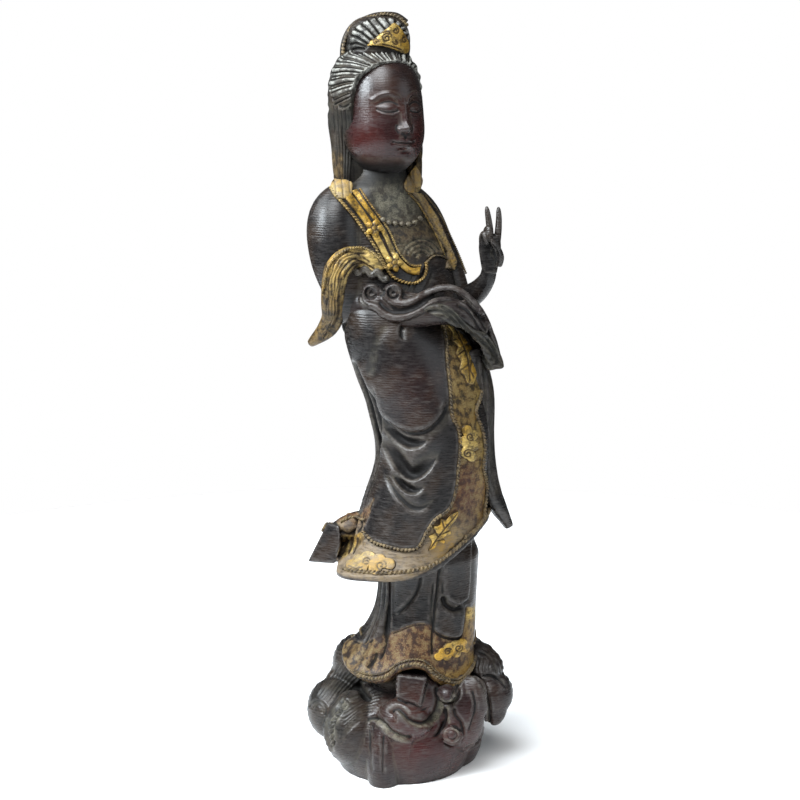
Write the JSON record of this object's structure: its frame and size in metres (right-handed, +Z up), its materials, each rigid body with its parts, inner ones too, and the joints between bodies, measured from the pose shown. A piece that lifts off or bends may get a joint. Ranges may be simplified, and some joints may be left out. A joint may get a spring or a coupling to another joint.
{
  "type": "guanyin figure",
  "caption": "Standing robed guanyin with one hand raised, head and hair knot turned aside, on a base of carved rock and waves, in dark lacquered, partly gilt wood.",
  "frame": {"origin": "middle of the underside of the rock base", "axes": "+Z up through the figure, which looks along -Y, with its raised hand at +X"},
  "size_m": [0.2004, 0.1946, 0.776],
  "materials": {
    "lacquered_wood": "satin"
  },
  "bodies": {
    "root": {"guanyin_figure": "lacquered_wood"}
  },
  "joints": []
}
